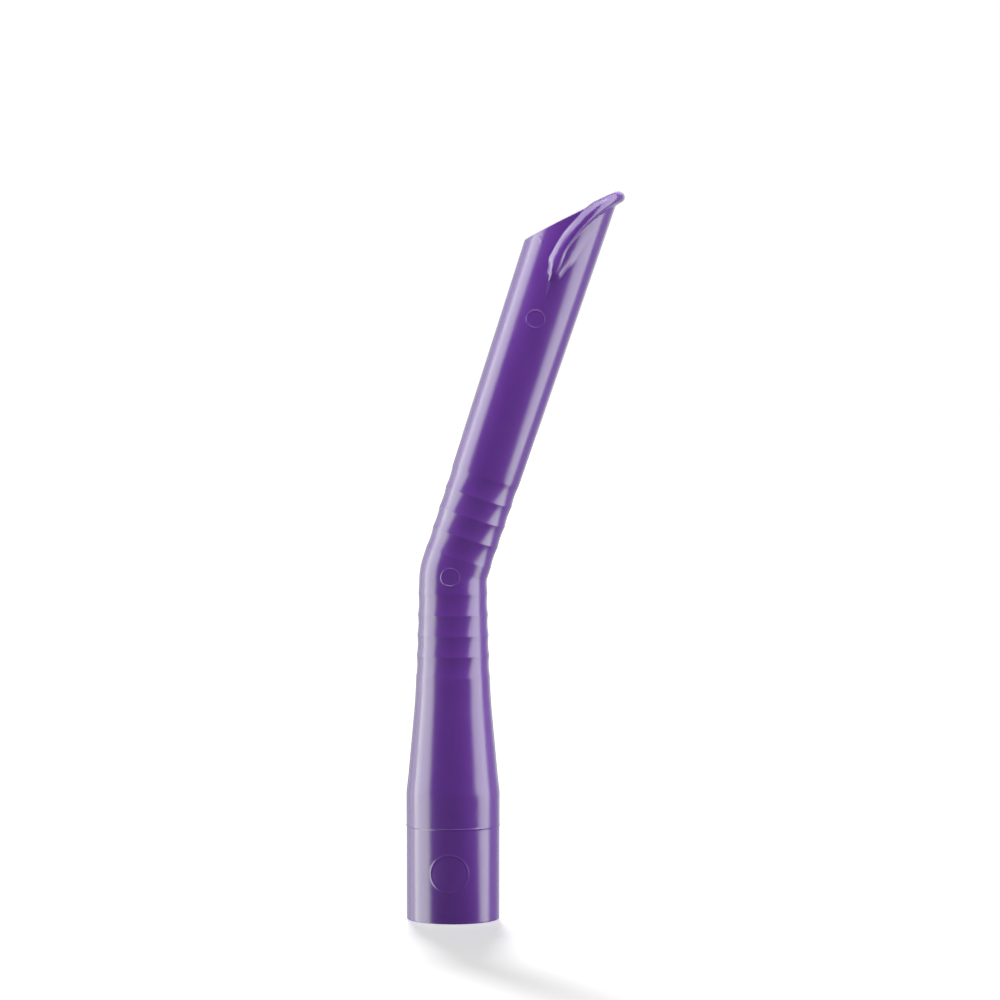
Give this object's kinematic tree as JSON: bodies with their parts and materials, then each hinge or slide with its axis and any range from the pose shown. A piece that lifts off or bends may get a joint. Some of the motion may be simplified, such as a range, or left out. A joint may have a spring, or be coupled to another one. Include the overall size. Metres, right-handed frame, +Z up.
{
  "type": "dental suction cannula",
  "caption": "Moulded dental suction cannula: round connector, flared neck with grip rings, fixed bend, and a slanted mouth with a rounded lip.",
  "frame": {"origin": "centre of the connector's open end, on the connector's axis", "axes": "+Z up the connector's axis, the upper tube leans towards +X, and the front faces -Y"},
  "size_m": [0.0377, 0.0162, 0.1257],
  "materials": {
    "purple_plastic": "semi-gloss moulded polypropylene, slightly translucent"
  },
  "bodies": {
    "root": {"suction_cannula": "purple_plastic"}
  },
  "joints": []
}
